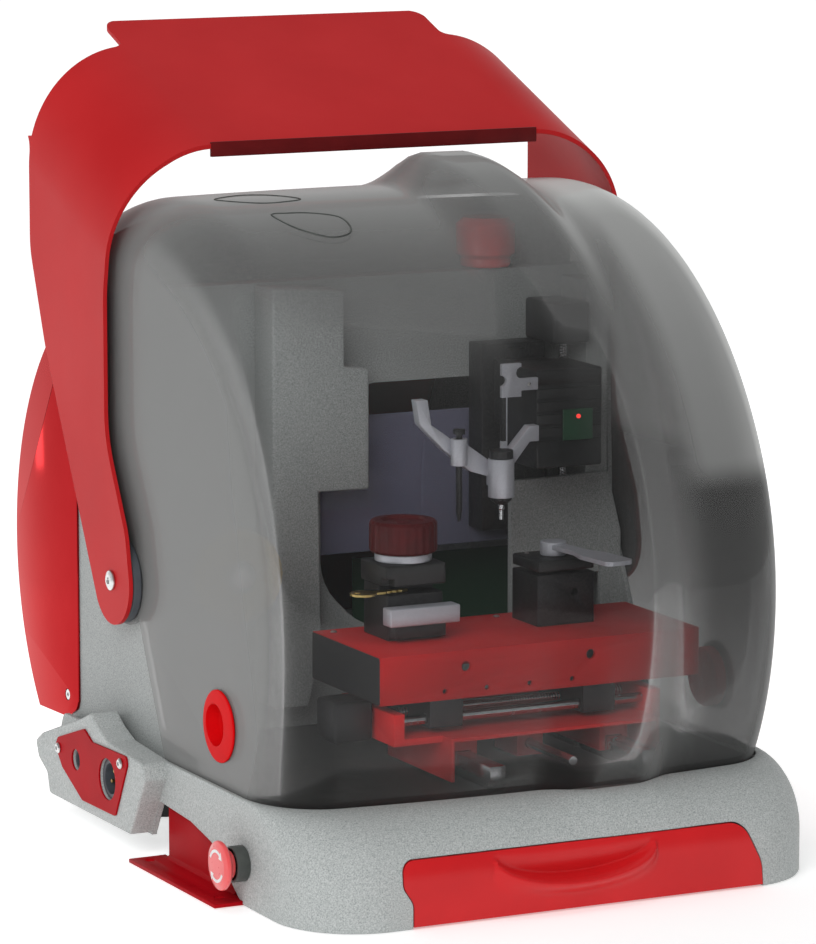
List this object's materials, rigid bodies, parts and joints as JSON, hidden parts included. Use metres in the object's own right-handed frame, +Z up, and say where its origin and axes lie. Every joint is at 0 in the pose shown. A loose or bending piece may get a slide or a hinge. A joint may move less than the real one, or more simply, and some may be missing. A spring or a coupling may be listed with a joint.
{
  "type": "key duplicating machine",
  "caption": "Bench-top key duplicating machine with a moulded plinth, storage drawer, tilting smoked hood, folding carry handle, key clamps and a cutting head.",
  "frame": {"origin": "on the bench, under the middle of the whole machine's bounding box", "axes": "+Z up, -Y towards the operator (drawer side), +X to the operator's right"},
  "size_m": [0.513, 0.6339, 0.6664],
  "materials": {
    "speckled_grey": "fine granular speckle, matt",
    "smoked_clear": "smoked clear moulding, glossy",
    "handle_red": "satin anodised or painted red",
    "gloss_red": "high gloss red",
    "sheet_red": "semi-gloss red paint on sheet",
    "button_red": "moulded red",
    "dark_blue_grey": "satin moulded",
    "black_plastic": "satin black",
    "dark_steel": "blackened steel",
    "steel": "ground steel",
    "aluminium": "bead-blasted",
    "brass": "plain brass",
    "knob_red": "dark red, satin",
    "guard_tint": "tinted clear sheet",
    "circuit_green": "solder mask",
    "rubber": "matt black",
    "zinc": "zinc plated"
  },
  "bodies": {
    "base": {"base_housing": "speckled_grey", "rear_body": "speckled_grey", "rear_cover": "gloss_red", "left_pillar": "speckled_grey", "guard_sheet": "guard_tint", "foot_rail_left": "sheet_red", "foot_rail_right": "sheet_red", "rear_foot_left": "rubber", "rear_foot_right": "rubber", "connector_plate": "sheet_red", "power_inlet": "dark_blue_grey", "data_socket": "dark_blue_grey", "estop_collar": "black_plastic", "pivot_disc_left": "dark_blue_grey", "pivot_disc_right": "dark_blue_grey", "pivot_screw_left": "zinc", "pivot_screw_right": "zinc", "y_rail_left": "steel", "y_rail_right": "steel", "y_motor": "dark_steel", "z_column": "dark_steel", "z_motor": "dark_steel", "status_lamp": "gloss_red", "brush_motor": "dark_steel", "power_supply": "zinc", "control_board": "circuit_green"},
    "hood": {"hood_shell": "smoked_clear", "finger_cup_left": "gloss_red", "finger_cup_right": "gloss_red"},
    "handle": {"carry_handle": "handle_red"},
    "drawer": {"drawer_front": "gloss_red", "drawer_tray": "black_plastic"},
    "stop_plunger": {"estop_stem": "black_plastic"},
    "stop_head": {"estop_head": "button_red"},
    "cross_tray": {"y_tray": "sheet_red", "x_rod_front": "steel", "x_rod_rear": "steel", "x_motor": "dark_steel"},
    "tray_screw": {"y_screw": "steel"},
    "table": {"x_table": "sheet_red", "left_vise_body": "dark_steel", "key_stop": "aluminium", "key_blank": "brass", "right_clamp_body": "dark_steel"},
    "table_screw": {"x_screw": "steel"},
    "knob_jaw": {"left_vise_jaw": "black_plastic"},
    "knob": {"vise_knob": "knob_red", "vise_ring": "aluminium"},
    "lever_jaw": {"right_clamp_jaw": "black_plastic"},
    "lever": {"clamp_lever": "aluminium"},
    "head": {"z_carriage": "dark_steel", "spindle_motor": "black_plastic", "head_bracket": "aluminium"},
    "head_screw": {"z_screw": "steel"},
    "tool": {"spindle": "steel", "cutter": "steel"},
    "stylus": {"tracer": "steel"},
    "brush": {"brush_wheel": "brass", "brush_hub": "steel"}
  },
  "joints": [
    {"name": "hood_hinge", "type": "hinge", "parent": "base", "child": "hood", "pos_m": [0, 0.07, 0.222], "axis": [-1, 0, 0], "range_deg": [0, 65]},
    {"name": "handle_pivot", "type": "hinge", "parent": "base", "child": "handle", "pos_m": [0, 0.07, 0.222], "axis": [-1, 0, 0], "range_deg": [-60, 85]},
    {"name": "drawer_slide", "type": "slide", "parent": "base", "child": "drawer", "axis": [0, -1, 0], "range_m": [0, 0.14]},
    {"name": "stop_press", "type": "slide", "parent": "base", "child": "stop_plunger", "axis": [1, 0, 0], "range_m": [0, 0.0035], "stiffness_N_per_m": 900},
    {"name": "stop_twist", "type": "hinge", "parent": "stop_plunger", "child": "stop_head", "pos_m": [-0.244, -0.174, 0.035], "axis": [-1, 0, 0], "range_deg": [0, 30], "stiffness_Nm_per_rad": 0.05},
    {"name": "tray_slide", "type": "slide", "parent": "base", "child": "cross_tray", "axis": [0, 1, 0], "range_m": [-0.03, 0.03]},
    {"name": "tray_screw_turn", "type": "hinge", "parent": "base", "child": "tray_screw", "pos_m": [0.046, 0, 0.096], "axis": [0, 1, 0], "range_deg": [-2160, 2160]},
    {"name": "table_slide", "type": "slide", "parent": "cross_tray", "child": "table", "axis": [1, 0, 0], "range_m": [-0.02, 0.02]},
    {"name": "table_screw_turn", "type": "hinge", "parent": "cross_tray", "child": "table_screw", "pos_m": [0, -0.115, 0.13], "axis": [1, 0, 0], "range_deg": [-1440, 1440]},
    {"name": "knob_jaw_lift", "type": "slide", "parent": "table", "child": "knob_jaw", "axis": [0, 0, 1], "range_m": [0, 0.003]},
    {"name": "knob_turn", "type": "hinge", "parent": "knob_jaw", "child": "knob", "pos_m": [-0.048, -0.0855, 0.231], "axis": [0, 0, 1], "range_deg": [0, 720]},
    {"name": "lever_jaw_lift", "type": "slide", "parent": "table", "child": "lever_jaw", "axis": [0, 0, 1], "range_m": [0, 0.002]},
    {"name": "lever_turn", "type": "hinge", "parent": "lever_jaw", "child": "lever", "pos_m": [0.0905, -0.0855, 0.232], "axis": [0, 0, 1], "range_deg": [0, 90]},
    {"name": "head_slide", "type": "slide", "parent": "base", "child": "head", "axis": [0, 0, -1], "range_m": [-0.01, 0.045]},
    {"name": "head_screw_turn", "type": "hinge", "parent": "base", "child": "head_screw", "pos_m": [0.166, 0.04, 0], "axis": [0, 0, 1], "range_deg": [-720, 3240]},
    {"name": "tool_spin", "type": "hinge", "parent": "head", "child": "tool", "pos_m": [0.054, -0.062, 0.284], "axis": [0, 0, 1], "continuous": true},
    {"name": "stylus_float", "type": "slide", "parent": "head", "child": "stylus", "axis": [0, 0, 1], "range_m": [0, 0.004], "stiffness_N_per_m": 150},
    {"name": "brush_spin", "type": "hinge", "parent": "base", "child": "brush", "pos_m": [-0.157, 0, 0.23], "axis": [0, 1, 0], "continuous": true}
  ],
  "couplings": [
    {"joint": "tray_screw_turn", "follows": "tray_slide", "rad_per_m": 1256.6},
    {"joint": "table_screw_turn", "follows": "table_slide", "rad_per_m": 1256.6},
    {"joint": "knob_turn", "follows": "knob_jaw_lift", "rad_per_m": 4188.8},
    {"joint": "lever_turn", "follows": "lever_jaw_lift", "rad_per_m": 785.39},
    {"joint": "head_screw_turn", "follows": "head_slide", "rad_per_m": 1256.6}
  ]
}
